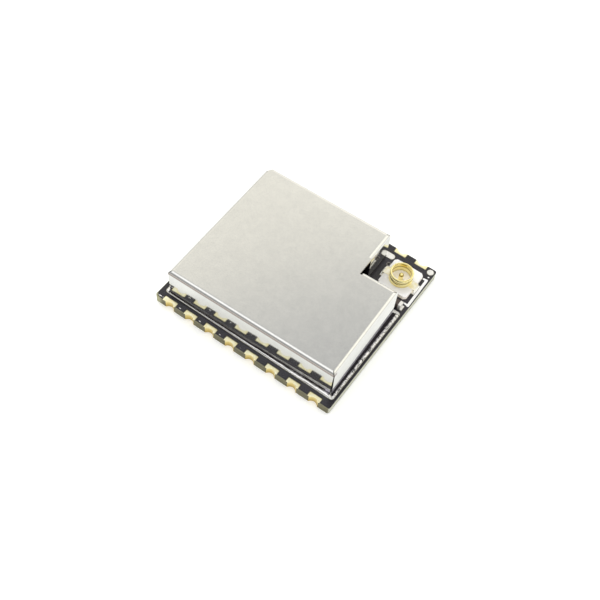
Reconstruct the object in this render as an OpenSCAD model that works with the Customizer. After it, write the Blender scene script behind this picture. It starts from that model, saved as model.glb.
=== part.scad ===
// Surface-mount wifi module: castellated board, folded shield can and push-on coax socket.
// Millimetres. The origin is the middle of the underside. +X runs along the front row of pads,
// +Y towards the rear row, +Z up.

/* [Board] */
// Width of the board, across its rows of pads
board_w = 16; // [15.8:0.1:20]
// Thickness of the finished board
board_t = 0.8; // [0.4:0.1:1.6]
// Thickness of the copper, and of the solder mask beside it
film_t = 0.04; // [0.02:0.01:0.08]
// Radius of the board's corners
board_r = 0.2; // [0.1:0.05:0.5]
// Bare laminate left between a land and the solder mask
mask_gap = 0.05; // [0.02:0.01:0.08]

/* [Edge pads] */
// Pads in each of the two rows
pad_n = 8; // [8:1:10]
// Distance from pad to pad
pad_pitch = 2; // [1.9:0.05:2.54]
// Distance from the last pad's middle to the board's end
pad_end = 1.45; // [1.35:0.05:2]
// Width of a pad
pad_w = 1.1; // [1:0.05:1.3]
// Extra width of the first pad, outwards
first_extra = 0.15; // [0:0.05:0.2]
// How far a pad reaches in on top
pad_top = 0.42; // [0.3:0.02:0.6]
// How far a pad reaches in underneath
pad_under = 1; // [0.6:0.1:1.4]
// Radius of the half hole in the edge
hole_r = 0.45; // [0.3:0.05:0.45]
// How far outside the edge the half hole's centre lies
hole_out = 0.22; // [0:0.02:0.24]
// Thickness of the plating in the half hole
plate_t = 0.05; // [0.03:0.01:0.08]

/* [Shield can] */
// Board left free past the can at each end
can_end = 0.7; // [0.65:0.05:1]
// Board left free past the can along each row of pads, were the can in the middle
can_row = 1.15; // [1.15:0.05:1.5]
// Height of the can above the board
can_h = 3; // [2.4:0.1:4]
// Thickness of the sheet
sheet_t = 0.2; // [0.1:0.05:0.25]
// Outside radius of the bends
bend_r = 0.34; // [0.26:0.02:0.5]
// Room between the coax socket's leg and the notch's side wall
notch_side = 0.565; // [0.4:0.005:0.8]
// Room between the coax socket's base and the notch's front wall
notch_front = 1.71; // [1.5:0.005:2.2]
// Opening left in the notch where its side wall stops short
relief = 1.4; // [0.6:0.1:2.4]
// Clipped rear left corner of the top, along the length
clip_l = 0.5; // [0.35:0.05:1]
// Clipped rear left corner of the top, across the width
clip_w = 0.65; // [0.35:0.05:1]
// Slit at a corner seam, at the top
seam_top = 0.06; // [0.02:0.02:0.1]
// Slit at a corner seam, at the foot
seam_foot = 0.2; // [0.1:0.02:0.3]
// Middle of the can, along the board
can_x = -0.04; // [-0.1:0.01:0.1]
// Middle of the can, across the board
can_y = -0.2; // [-0.25:0.01:-0.1]
// Turn of the can as it was soldered down, in degrees
can_turn = 1.2; // [-1:0.1:1.5]

/* [Ground land and solder] */
// How far the land reaches out past the can on the right
land_right = 0.5; // [0.3:0.05:0.55]
// How far it reaches out on the left
land_left = 0.25; // [0.2:0.05:0.5]
// How far it reaches out at the front
land_front = 0.19; // [0.15:0.01:0.3]
// How far it reaches out at the rear
land_rear = 0.6; // [0.45:0.05:0.65]
// How far it reaches in under the can
land_in = 0.45; // [0.35:0.05:0.6]
// Start of the land's toe beside the notch, behind the can
toe_in = 0.05; // [0.05:0.05:0.15]
// How far the toe reaches into the notch, and to the other side
toe_l = 0.5; // [0.4:0.05:0.6]
// Radius of the land's corners
land_r = 0.25; // [0.1:0.05:0.25]
// Width and height of the solder against the can's foot
solder_w = 0.4; // [0.3:0.02:0.44]
// Thickness of the solder at its thin edge
solder_edge = 0.04; // [0.02:0.01:0.06]

/* [Coax socket] */
// Distance of the socket's middle from the board's end
coax_end = 2.01; // [1.9:0.01:2.2]
// Distance of the socket's middle from the board's rear edge
coax_rear = 2.66; // [2.6:0.02:3]
// Length of the moulded base
base_l = 2.75; // [2.5:0.05:2.8]
// Width of the moulded base
base_w = 2.95; // [2.6:0.05:3]
// Height of the moulded base
base_h = 0.35; // [0.33:0.01:0.4]
// Height of the floor inside the shell
floor_h = 0.3; // [0.25:0.01:0.32]
// Chamfer on the base's corners
base_cut = 0.2; // [0.1:0.05:0.3]
// Height of the socket
coax_h = 1.2; // [1.16:0.02:1.4]
// Outside radius of the shell
shell_r = 0.98; // [0.95:0.01:1.05]
// Inside radius of the shell
shell_in = 0.83; // [0.8:0.01:0.85]
// Depth of the snap groove round the shell
groove_d = 0.05; // [0.04:0.01:0.06]
// Width of the shell's legs
leg_w = 0.75; // [0.6:0.05:1]
// Thickness of the legs and of the contact's tail
leg_t = 0.12; // [0.1:0.01:0.14]
// Radius of the centre contact
pin_r = 0.2; // [0.16:0.01:0.24]
// Height of the centre contact above the board
pin_h = 0.95; // [0.8:0.05:1.05]
// Width of the contact's tail
tail_w = 0.5; // [0.4:0.05:0.6]
// How far the tail sticks out of the base
tail_out = 0.2; // [0.15:0.05:0.3]
// Height of the plain band above the base
band_h = 0.37; // [0.25:0.01:0.38]
// Height of the rim above the snap groove
rim_h = 0.29; // [0.2:0.01:0.32]
// Chamfer on the rim
rim_cut = 0.04; // [0.02:0.01:0.06]
// Height of the contact's rounded head
head_h = 0.36; // [0.3:0.02:0.4]
// Depth of the neck under the head
neck_d = 0.05; // [0.02:0.01:0.08]
// Width of the step between the floor and the shell
step_w = 0.06; // [0.04:0.01:0.1]
// Clearance between the base and the metal parts in it
base_gap = 0.02; // [0.01:0.01:0.04]

/* [Chips and crystal] */
// Side of the square radio chip
radio_l = 5; // [4:0.5:5]
// Height of the radio chip
radio_h = 0.85; // [0.7:0.05:1]
// Terminals on each side of the radio chip
radio_n = 8; // [4:1:8]
// Distance from terminal to terminal
radio_pitch = 0.5; // [0.4:0.01:0.52]
// Length of the flash chip's body
flash_l = 4.9; // [4.6:0.1:5]
// Width of the flash chip's body
flash_w = 3.9; // [3.5:0.1:4]
// Height of the flash chip
flash_h = 1.5; // [1.3:0.05:1.75]
// Width of the flash chip across its leads
flash_span = 6; // [5.6:0.1:6.2]
// Distance from lead to lead
flash_pitch = 1.27; // [1:0.01:1.3]
// Length of the crystal
crystal_l = 3.2; // [2.5:0.1:3.4]
// Width of the crystal
crystal_w = 2.5; // [2:0.1:2.6]
// Height of the crystal's ceramic base
crystal_base_h = 0.45; // [0.3:0.05:0.6]
// Height of the crystal's metal lid
crystal_lid_h = 0.3; // [0.2:0.05:0.4]
// Width of a terminal of the radio chip
radio_lead_w = 0.25; // [0.15:0.01:0.3]
// Length of a terminal of the radio chip
radio_lead_l = 0.4; // [0.3:0.05:0.5]
// Thickness of the radio chip's terminals and middle land
radio_lead_t = 0.2; // [0.1:0.05:0.3]
// Side of the radio chip's bare middle land
radio_pad = 3.6; // [2.4:0.1:3.6]
// Width of a lead of the flash chip
flash_lead_w = 0.42; // [0.3:0.01:0.5]
// Thickness of a lead of the flash chip
flash_lead_t = 0.2; // [0.1:0.05:0.25]
// How far a lead runs straight out before it slopes down
flash_shoulder = 0.35; // [0.25:0.05:0.4]
// Length of a lead's foot
flash_foot = 0.5; // [0.4:0.05:0.6]
// Air under the flash chip
flash_stand = 0.1; // [0.05:0.01:0.15]
// Draft of the flash chip's moulding
flash_draft = 0.12; // [0.05:0.01:0.15]
// Radius of the hollow at each corner of the crystal's base
crystal_hollow = 0.25; // [0.15:0.01:0.3]
// Bare ceramic round the crystal's lid
crystal_rim = 0.15; // [0.05:0.01:0.2]
// Length of a land under the crystal
crystal_land_l = 1.1; // [0.9:0.05:1.2]
// Width of a land under the crystal
crystal_land_w = 0.9; // [0.7:0.05:1]
// Radius of the dimple that marks a chip's first terminal
dimple_r = 0.3; // [0.2:0.05:0.4]
// Depth of the dimple
dimple_d = 0.04; // [0.02:0.01:0.06]
// Distance of the dimple's middle from the sides of the chip
dimple_in = 0.75; // [0.6:0.05:1]

/* [Chip parts] */
// Length of a chip capacitor, resistor or inductor
chip_l = 1; // [0.9:0.05:1.05]
// Width of a chip part
chip_w = 0.5; // [0.4:0.05:0.55]
// Height of a capacitor or inductor
chip_h = 0.5; // [0.4:0.05:0.6]
// Height of a resistor
resistor_h = 0.35; // [0.25:0.05:0.4]
// Length of an end cap
end_l = 0.25; // [0.15:0.05:0.3]
// How much an end cap stands proud of the body
end_proud = 0.015; // [0.01:0.005:0.03]
// How far a land reaches past its terminal
land_past = 0.15; // [0.1:0.05:0.2]
// Distance of a chip part from the next one in its row
part_pitch = 1.3; // [1:0.05:1.4]
// Clear space between neighbouring groups of parts, and between them and the can's land
part_gap = 0.3; // [0.2:0.05:0.4]
// Radius of the small via's hole
via_r = 0.1; // [0.08:0.01:0.15]
// How far the via lies to the left of the coax socket's middle
via_left = 1.62; // [1.6:0.01:1.7]
// How far the via lies behind the coax socket's middle
via_behind = 0.84; // [0.84:0.01:0.95]
// Radius of the land round the via
via_land_r = 0.22; // [0.2:0.01:0.23]
// Gap between the lands of the coax socket's tail and of the chip part beside it
aerial_gap = 0.15; // [0.1:0.01:0.2]
// Radius of the round test land near the rear right corner
test_r = 0.28; // [0.2:0.01:0.3]
// Distance of the test land's middle from the board's edges
test_in = 0.41; // [0.38:0.01:0.44]

/* [Hidden] */
$fn = 48;
eps = 0.01;
board_l = (pad_n - 1) * pad_pitch + 2 * pad_end;
// Height of the can's top above the underside
can_top = board_t + can_h;
can_l = board_l - 2 * can_end;
can_w = board_w - 2 * can_row;
// Half the can
can_x1 = can_l / 2;
can_y1 = can_w / 2;
coax_x = board_l / 2 - coax_end;
coax_y = board_w / 2 - coax_rear;
// Outermost face of the socket's legs, from its middle
leg_x = base_l / 2 + base_gap + leg_t;
// Edge of the land at the socket's tail
tail_land_y = coax_y - base_w / 2 - tail_out - land_past;
// Where the notch starts, from the can's own middle, and its size
notch_x = coax_x - leg_x - notch_side - can_x;
notch_y = coax_y - base_w / 2 - notch_front - can_y;
notch_l = can_x1 - notch_x;
notch_w = can_y1 - notch_y;
via_at = [coax_x - via_left, coax_y + via_behind];
test_at = [board_l / 2 - test_in, board_w / 2 - test_in];
// Free floor inside the can's land
left_x = can_x - can_x1 + land_in + part_gap;
right_x = can_x + can_x1 - land_in - part_gap;
front_y = can_y - can_y1 + land_in + part_gap;
// A chip part with its lands, from its middle
part_reach = chip_l / 2 + land_past;
first_row_y = front_y + part_reach;
flash_at = [left_x + flash_l / 2, first_row_y + part_reach + part_gap + flash_span / 2 + land_past];
crystal_at = [right_x - crystal_l / 2, front_y + crystal_w / 2];
radio_reach = radio_l / 2 + land_past;
radio_at = [flash_at.x + flash_l / 2 + part_gap + radio_reach,
            crystal_at.y + crystal_w / 2 + part_gap + radio_reach];
// Rows of chip parts: first middle, number, step and turn
capacitor_rows = [
    [[left_x + chip_w / 2, first_row_y], 4, [part_pitch, 0], 90],
    [[left_x + chip_w / 2, flash_at.y + flash_span / 2 + land_past + part_gap + part_reach],
     4, [part_pitch, 0], 90],
    [[radio_at.x + radio_reach + part_gap + part_reach, radio_at.y - radio_l / 2 + chip_w / 2],
     3, [0, part_pitch], 0]];
inductor_rows = [[[left_x + chip_w / 2 + 4 * part_pitch, first_row_y], 2, [part_pitch, 0], 90]];
resistor_rows = [[[radio_at.x - radio_l / 2 + chip_w, radio_at.y + radio_reach + part_gap + part_reach],
                  3, [part_pitch, 0], 90]];
// The one chip part outside the can, in front of the coax socket
aerial_row = [[[coax_x + 2 * chip_w, tail_land_y - aerial_gap - chip_w / 2], 1, [0, 0], 0]];

function pad_x(i) = (i - (pad_n + 1) / 2) * pad_pitch;

PADS_FRONT = [for (i = [1:pad_n]) str("pad_front_", i)];
PADS_REAR = [for (i = [1:pad_n]) str("pad_rear_", i)];

// ---- Board ----

// Rectangle with round corners, from one corner to the other
module round_box_2d(a, b, r) {
    translate([a.x + r, a.y]) square([b.x - a.x - 2 * r, b.y - a.y]);
    translate([a.x, a.y + r]) square([b.x - a.x, b.y - a.y - 2 * r]);
    for (x = [a.x + r, b.x - r], y = [a.y + r, b.y - r]) translate([x, y]) circle(r);
}

// Children put at each pad of both rows, turned so that +Y points out of the board
module at_pads() {
    for (i = [1:pad_n]) {
        translate([pad_x(i), board_w / 2, 0]) children();
        translate([pad_x(i), -board_w / 2, 0]) rotate(180) children();
    }
}

// Outline of a sheet of the board, cut back by the plated half holes
module board_2d() {
    difference() {
        round_box_2d([-board_l / 2, -board_w / 2], [board_l / 2, board_w / 2], board_r);
        at_pads() translate([0, hole_out]) circle(hole_r + plate_t);
    }
}

// One pad's land, which reaches in by depth; extra widens it on its left
module pad_land_2d(depth, extra, gap = 0) {
    translate([-pad_w / 2 - gap, -depth - gap]) square([pad_w + extra + 2 * gap, depth + 2 * gap]);
}

// The lands of all pads, for the openings in a mask
module all_pad_lands_2d(depth) {
    for (i = [1:pad_n], side = [0, 180])
        translate([pad_x(i), (side == 0 ? 1 : -1) * board_w / 2])
            rotate(side) pad_land_2d(depth, first_width(i, side), mask_gap);
}

// Only the first pad of the front row is wider
function first_width(i, side) = i == 1 && side == 180 ? first_extra : 0;

module board_core() {
    color("#8f8a63") translate([0, 0, film_t]) linear_extrude(board_t - 2 * film_t)
        difference() {
            board_2d();
            translate(via_at) circle(via_r + plate_t);
        }
}

module mask_top() {
    color("#26232b") translate([0, 0, board_t - film_t]) linear_extrude(film_t)
        difference() {
            board_2d();
            all_pad_lands_2d(pad_top);
            shield_land_2d(mask_gap);
            coax_lands_2d(mask_gap);
            chip_lands_2d(mask_gap);
            translate(test_at) circle(test_r + mask_gap);
            translate(via_at) circle(via_land_r);
        }
}

module mask_under() {
    color("#26232b") linear_extrude(film_t)
        difference() {
            board_2d();
            all_pad_lands_2d(pad_under);
            translate(via_at) circle(via_land_r);
        }
}

// A pad in one piece: land on top, half barrel in the edge, land underneath
module edge_pad(i, side) {
    extra = first_width(i, side);
    color("#e3c676") translate([pad_x(i), (side == 0 ? 1 : -1) * board_w / 2, 0]) rotate(side)
        difference() {
            union() {
                translate([0, 0, board_t - film_t]) linear_extrude(film_t) pad_land_2d(pad_top, extra);
                linear_extrude(film_t) pad_land_2d(pad_under, extra);
                intersection() {
                    translate([0, hole_out, 0]) cylinder(h = board_t, r = hole_r + plate_t);
                    translate([-pad_w / 2, -pad_top, 0]) cube([pad_w, pad_top, board_t]);
                }
            }
            translate([0, hole_out, -eps]) cylinder(h = board_t + 2 * eps, r = hole_r);
        }
}

module via() {
    color("#d8c48c") difference() {
        union() {
            cylinder_at(via_at, 0, board_t, via_r + plate_t);
            cylinder_at(via_at, 0, film_t, via_land_r);
            cylinder_at(via_at, board_t - film_t, board_t, via_land_r);
        }
        cylinder_at(via_at, -eps, board_t + eps, via_r);
    }
}

module cylinder_at(p, z0, z1, r) {
    translate([p.x, p.y, z0]) cylinder(h = z1 - z0, r = r);
}

// ---- Ground land under the can ----

// Straight strips in line with the board, not with the can
module shield_land_2d(gap = 0) {
    left = can_x - can_x1;
    right = can_x + can_x1;
    front = can_y - can_y1;
    rear = can_y + can_y1;
    r = land_r + gap;
    toe_x = can_x + notch_x;
    round_box_2d([left - land_left - gap, front - land_front - gap],
                 [left + land_in + gap, rear + land_rear + gap], r);
    round_box_2d([left - land_left - gap, front - land_front - gap],
                 [right + land_right + gap, front + land_in + gap], r);
    round_box_2d([right - land_in - gap, front - land_front - gap],
                 [right + land_right + gap, can_y + notch_y + land_in + gap], r);
    round_box_2d([left - land_left - gap, rear - land_in - gap],
                 [toe_x - toe_l + gap, rear + land_rear + gap], r);
    round_box_2d([toe_x - 2 * toe_l - gap, rear + toe_in - gap],
                 [toe_x + toe_l + gap, rear + land_rear + gap], r);
}

module shield_land() {
    color("#dcdbd6") translate([0, 0, board_t - film_t]) linear_extrude(film_t) shield_land_2d();
}

// ---- Shield can, folded from one sheet ----

// Puts its children where the can stands, on the board
module at_can() {
    translate([can_x, can_y, board_t]) rotate(can_turn) children();
}

// A wall with its bend, running from x = 0 to x = length with its outer face at y = 0. An end is
// mitred (1) where the next wall meets it at a corner of folded sheet, or square (0) where it is free.
module wall(length, start, end) {
    depth = 2 * bend_r;
    intersection() {
        rotate([90, 0, 90]) linear_extrude(length) wall_2d();
        linear_extrude(can_h + 1)
            polygon([[0, 0], [length, 0], [length - end * depth, depth], [start * depth, depth]]);
    }
}

// Section of a wall: the upright leg, the quarter bend and a stub of the top sheet
module wall_2d() {
    square([sheet_t, can_h - bend_r]);
    translate([bend_r, can_h - bend_r]) intersection() {
        difference() {
            circle(bend_r);
            circle(bend_r - sheet_t);
        }
        translate([-bend_r, 0]) square(bend_r);
    }
    translate([bend_r, can_h - sheet_t]) square([bend_r, sheet_t]);
}

// Slit between two walls at an outer corner, wider at the foot. The legs part along it, and the
// bends stay joined near the top.
module seam(corner, turn) {
    reach = sheet_t * sqrt(2) + seam_top / 2;
    translate([corner.x, corner.y, 0]) rotate(turn) translate([-bend_r, 0, 0]) rotate([90, 0, 90])
        linear_extrude(bend_r + reach)
            polygon([[-seam_foot / 2, -eps], [seam_foot / 2, -eps],
                     [seam_top / 2, can_h + eps], [-seam_top / 2, can_h + eps]]);
}

// Flat top, inside the bends. It runs straight out to the notch in the relief, and to the walls'
// outer faces at the clipped corner.
module can_top_2d() {
    x1 = can_x1 - bend_r;
    y1 = can_y1 - bend_r;
    polygon([[-x1, -y1], [x1, -y1], [x1, notch_y - bend_r], [notch_x, notch_y - bend_r],
             [notch_x, notch_y + relief], [notch_x - bend_r, notch_y + relief],
             [notch_x - bend_r, y1], [-can_x1 + clip_l, y1], [-can_x1 + clip_l, can_y1],
             [-can_x1, can_y1 - clip_w], [-x1, can_y1 - clip_w]]);
}

module shield_can() {
    color("#c9c8c2") at_can() difference() {
        union() {
            translate([0, 0, can_h - sheet_t]) linear_extrude(sheet_t) can_top_2d();
            translate([-can_x1, -can_y1, 0]) wall(can_l, 1, 1);
            translate([can_x1, -can_y1, 0]) rotate(90) wall(can_w - notch_w, 1, 1);
            translate([can_x1, notch_y, 0]) rotate(180) wall(notch_l - sheet_t, 1, 0);
            translate([notch_x, notch_y + relief, 0]) rotate(90) wall(notch_w - relief, 0, 1);
            translate([notch_x, can_y1, 0]) rotate(180) wall(can_l - notch_l - clip_l, 1, 0);
            translate([-can_x1, can_y1 - clip_w, 0]) rotate(270) wall(can_w - clip_w, 0, 1);
        }
        seam([can_x1, -can_y1], 135);
        seam([-can_x1, -can_y1], 45);
        seam([can_x1, notch_y], 225);
        seam([notch_x, can_y1], 225);
    }
}

// ---- Solder along the can's foot ----

// Hollow fillet against an outer face at x = 0, in the quadrant x < 0, thin at its edge
module fillet_2d(w) {
    difference() {
        translate([-w, 0]) square(w);
        translate([-w, w + solder_edge]) circle(w);
    }
}

// Fillet along a wall that runs from x = 0 to x = length, and round the corner at its start
module solder_run(length, w) {
    rotate([90, 0, 90]) linear_extrude(length) fillet_2d(w);
    intersection() {
        rotate_extrude() fillet_2d(w);
        translate([-w, -w, 0]) cube(w);
    }
}

// Keeps only the solder that lies on the land
module on_shield_land() {
    color("#cfcfca") intersection() {
        at_can() children();
        linear_extrude(can_top) shield_land_2d();
    }
}

module solder_front() {
    on_shield_land() translate([-can_x1, -can_y1, 0]) solder_run(can_l, solder_w);
}

module solder_right() {
    on_shield_land() translate([can_x1, -can_y1, 0]) rotate(90) solder_run(can_w - notch_w, solder_w);
}

module solder_rear() {
    on_shield_land() translate([notch_x, can_y1, 0]) rotate(180)
        solder_run(can_l - notch_l - clip_l, solder_w);
}

module solder_left() {
    on_shield_land() translate([-can_x1, can_y1 - clip_w, 0]) rotate(270)
        rotate([90, 0, 90]) linear_extrude(can_w - clip_w) fillet_2d(solder_w);
}

// ---- Coax socket ----

module at_coax() {
    translate([coax_x, coax_y, board_t]) children();
}

// Children on the right, and turned round to the left
module both_legs() {
    children();
    rotate(180) children();
}

// Two ground lands at the legs and one at the contact's tail
module coax_lands_2d(gap = 0) {
    leg_land = leg_x - base_l / 2 + leg_t + land_past;
    tail_land = tail_w + 2 * land_past;
    translate([coax_x, coax_y]) both_legs()
        grown_2d([base_l / 2 - leg_t, -leg_w / 2 - land_past], [leg_land, leg_w + 2 * land_past], gap);
    translate([coax_x, tail_land_y])
        grown_2d([-tail_land / 2, 0], [tail_land, land_past + tail_out + leg_t], gap);
}

// Rectangle from a corner, grown all round by gap
module grown_2d(corner, size, gap) {
    translate([corner.x - gap, corner.y - gap]) square([size.x + 2 * gap, size.y + 2 * gap]);
}

module coax_lands() {
    color("#dcdbd6") translate([0, 0, board_t - film_t]) linear_extrude(film_t) coax_lands_2d();
}

// Base outline with chamfered corners
module base_2d() {
    x = base_l / 2;
    y = base_w / 2;
    c = base_cut;
    polygon([[-x + c, -y], [x - c, -y], [x, -y + c], [x, y - c],
             [x - c, y], [-x + c, y], [-x, y - c], [-x, -y + c]]);
}

// Moulded base: a seat for the shell and its legs, a lower floor inside the shell, a hole for the
// contact and a channel for its tail
module coax_base() {
    color("#efece4") at_coax() difference() {
        linear_extrude(base_h) base_2d();
        translate([0, 0, floor_h]) cylinder(h = base_h, r = shell_in - base_gap - step_w);
        translate([0, 0, base_h - leg_t - base_gap]) difference() {
            cylinder(h = leg_t + base_gap + eps, r = shell_r + base_gap);
            translate([0, 0, -eps]) cylinder(h = leg_t + base_gap + 3 * eps, r = shell_in - base_gap);
        }
        both_legs() translate([shell_in, -leg_w / 2 - base_gap, base_h - leg_t - base_gap])
            cube([base_l, leg_w + 2 * base_gap, leg_t + base_gap + eps]);
        translate([0, 0, -eps]) cylinder(h = base_h + 2 * eps, r = pin_r + base_gap);
        translate([-tail_w / 2 - base_gap, -base_w, -eps])
            cube([tail_w + 2 * base_gap, base_w, leg_t + base_gap + eps]);
        translate([0, 0, -eps]) cylinder(h = leg_t + base_gap + eps, r = tail_w / 2 + base_gap);
    }
}

// Drawn shell: rim, snap groove and plain band, with a leg on either side bent down to the board
module coax_shell() {
    seat = base_h - leg_t;
    band_top = base_h + band_h;
    rim_low = coax_h - rim_h;
    groove_r = shell_r - groove_d;
    color("#e0bf62") at_coax() {
        rotate_extrude() polygon([
            [shell_in, seat], [shell_r, seat], [shell_r, band_top], [groove_r, band_top + groove_d],
            [groove_r, rim_low - groove_d], [shell_r, rim_low], [shell_r, coax_h - rim_cut],
            [shell_r - rim_cut, coax_h], [shell_in + rim_cut, coax_h], [shell_in, coax_h - rim_cut]]);
        both_legs() difference() {
            translate([0, -leg_w / 2, 0]) {
                translate([0, 0, seat]) cube([leg_x, leg_w, leg_t]);
                translate([leg_x - leg_t, 0, 0]) cube([leg_t, leg_w, base_h]);
            }
            translate([0, 0, -eps]) cylinder(h = base_h + 2 * eps, r = (shell_in + shell_r) / 2);
        }
    }
}

// Centre contact: tail under the base, post, neck and rounded head
module coax_contact() {
    head_low = pin_h - head_h;
    color("#e6c86e") at_coax() {
        translate([-tail_w / 2, -base_w / 2 - tail_out, 0]) cube([tail_w, base_w / 2 + tail_out, leg_t]);
        cylinder(h = leg_t, r = tail_w / 2);
        cylinder(h = head_low - neck_d, r = pin_r);
        cylinder(h = pin_h - pin_r, r = pin_r - neck_d);
        translate([0, 0, head_low]) cylinder(h = head_h - pin_r, r = pin_r);
        translate([0, 0, pin_h - pin_r]) sphere(pin_r);
    }
}

module coax_leg_solder() {
    color("#cfcfca") at_coax() both_legs()
        translate([leg_x, -leg_w / 2, 0]) rotate(90) rotate([90, 0, 90])
            linear_extrude(leg_w) fillet_2d(land_past);
}

module coax_tail_solder() {
    color("#cfcfca") at_coax() translate([-tail_w / 2, -base_w / 2 - tail_out, 0])
        rotate([90, 0, 90]) linear_extrude(tail_w) fillet_2d(min(land_past, leg_t));
}

// ---- Chips and crystal ----

module at_radio() {
    translate([radio_at.x, radio_at.y, board_t]) children();
}

// Children at each terminal, with +Y pointing out of the body's side at y = 0
module at_radio_terminals() {
    for (turn = [0:90:270], k = [0:radio_n - 1])
        rotate(turn) translate([(k - (radio_n - 1) / 2) * radio_pitch, radio_l / 2, 0]) children();
}

module radio_terminals() {
    color("#d8d8d4") at_radio() {
        at_radio_terminals() translate([-radio_lead_w / 2, -radio_lead_l, 0])
            cube([radio_lead_w, radio_lead_l, radio_lead_t]);
        translate([-radio_pad / 2, -radio_pad / 2, 0]) cube([radio_pad, radio_pad, radio_lead_t]);
    }
}

module radio_chip() {
    color("#1f1f21") difference() {
        at_radio() difference() {
            translate([-radio_l / 2, -radio_l / 2, 0]) cube([radio_l, radio_l, radio_h]);
            translate([dimple_in - radio_l / 2, radio_l / 2 - dimple_in, radio_h - dimple_d])
                cylinder(h = radio_h, r = dimple_r);
        }
        radio_terminals();
    }
}

module at_flash() {
    translate([flash_at.x, flash_at.y, board_t]) children();
}

// Children at each lead, with +Y pointing out of the body's middle
module at_flash_leads() {
    for (turn = [0, 180], k = [-1.5:1:1.5]) rotate(turn) translate([k * flash_pitch, 0, 0]) children();
}

// Gull-wing lead: shoulder out of the body, slope down, flat foot on its land
module flash_leads() {
    mid = (flash_stand + flash_h) / 2;
    t = flash_lead_t;
    side = flash_w / 2;
    tip = flash_span / 2;
    color("#d8d8d4") at_flash() at_flash_leads()
        translate([-flash_lead_w / 2, 0, 0]) rotate([90, 0, 90]) linear_extrude(flash_lead_w)
            polygon([[side - t, mid + t / 2], [side + flash_shoulder, mid + t / 2],
                     [tip - flash_foot + t, t], [tip, t], [tip, 0], [tip - flash_foot, 0],
                     [side + flash_shoulder - t, mid - t / 2], [side - t, mid - t / 2]]);
}

// Section of the moulding, drafted above and below its parting line
module mould_2d(w) {
    mid = (flash_stand + flash_h) / 2;
    x = w / 2;
    polygon([[-x + flash_draft, flash_stand], [x - flash_draft, flash_stand], [x, mid],
             [x - flash_draft, flash_h], [-x + flash_draft, flash_h], [-x, mid]]);
}

module flash_chip() {
    color("#222224") difference() {
        at_flash() difference() {
            intersection() {
                translate([0, flash_w / 2, 0]) rotate([90, 0, 0])
                    linear_extrude(flash_w) mould_2d(flash_l);
                translate([-flash_l / 2, 0, 0]) rotate([90, 0, 90])
                    linear_extrude(flash_l) mould_2d(flash_w);
            }
            translate([dimple_in - flash_l / 2, dimple_in - flash_w / 2, flash_h - dimple_d])
                cylinder(h = flash_h, r = dimple_r);
        }
        flash_leads();
    }
}

module at_crystal() {
    translate([crystal_at.x, crystal_at.y, board_t]) children();
}

// Ceramic tray with a hollow at each corner
module crystal_base() {
    x = crystal_l / 2;
    y = crystal_w / 2;
    color("#d9cfae") at_crystal() difference() {
        translate([-x, -y, 0]) cube([crystal_l, crystal_w, crystal_base_h]);
        for (sx = [-1, 1], sy = [-1, 1])
            translate([sx * x, sy * y, -eps]) cylinder(h = crystal_base_h + 2 * eps, r = crystal_hollow);
    }
}

module crystal_lid() {
    x = crystal_l / 2 - crystal_rim;
    y = crystal_w / 2 - crystal_rim;
    color("#cfcabb") at_crystal() translate([0, 0, crystal_base_h]) linear_extrude(crystal_lid_h)
        round_box_2d([-x, -y], [x, y], crystal_hollow);
}

// ---- Chip parts ----

// Children at each part of each row
module at_rows(rows) {
    for (row = rows, k = [0:row[1] - 1])
        translate([row[0].x + k * row[2].x, row[0].y + k * row[2].y, 0]) rotate(row[3]) children();
}

module chip_bodies(rows, h) {
    at_rows(rows) translate([end_l - chip_l / 2, end_proud - chip_w / 2, board_t + end_proud])
        cube([chip_l - 2 * end_l, chip_w - 2 * end_proud, h - 2 * end_proud]);
}

module chip_ends(rows, h) {
    color("#dadad6") at_rows(rows) for (x = [-chip_l / 2, chip_l / 2 - end_l])
        translate([x, -chip_w / 2, board_t]) cube([end_l, chip_w, h]);
}

module capacitors() {
    color("#b89a6c") chip_bodies(capacitor_rows, chip_h);
}

module capacitor_ends() {
    chip_ends(capacitor_rows, chip_h);
}

module resistors() {
    color("#2b2b2e") chip_bodies(resistor_rows, resistor_h);
}

module resistor_ends() {
    chip_ends(resistor_rows, resistor_h);
}

module inductors() {
    color("#8fb0c4") chip_bodies(inductor_rows, chip_h);
}

module inductor_ends() {
    chip_ends(inductor_rows, chip_h);
}

module aerial_capacitor() {
    color("#b89a6c") chip_bodies(aerial_row, chip_h);
}

module aerial_capacitor_ends() {
    chip_ends(aerial_row, chip_h);
}

// Lands under everything that is soldered down inside the can, and under the aerial capacitor
module chip_lands_2d(gap = 0) {
    at_rows(concat(capacitor_rows, resistor_rows, inductor_rows, aerial_row)) for (turn = [0, 180])
        rotate(turn) grown_2d([chip_l / 2 - end_l, -chip_w / 2], [end_l + land_past, chip_w], gap);
    translate(radio_at) {
        at_radio_terminals() grown_2d([-radio_lead_w / 2, -radio_lead_l],
                                      [radio_lead_w, radio_lead_l + land_past], gap);
        grown_2d([-radio_pad / 2, -radio_pad / 2], [radio_pad, radio_pad], gap);
    }
    translate(flash_at) at_flash_leads()
        grown_2d([-flash_lead_w / 2, flash_span / 2 - flash_foot - land_past],
                 [flash_lead_w, flash_foot + 2 * land_past], gap);
    translate(crystal_at) for (sx = [-1, 1], sy = [-1, 1])
        grown_2d([sx * (crystal_l - crystal_land_l) / 2 - crystal_land_l / 2,
                  sy * (crystal_w - crystal_land_w) / 2 - crystal_land_w / 2],
                 [crystal_land_l, crystal_land_w], gap);
}

// Round land for a test pin
module test_land() {
    color("#dcdbd6") cylinder_at(test_at, board_t - film_t, board_t, test_r);
}

module chip_lands() {
    color("#d9c07a") translate([0, 0, board_t - film_t]) linear_extrude(film_t) chip_lands_2d();
}

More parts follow.
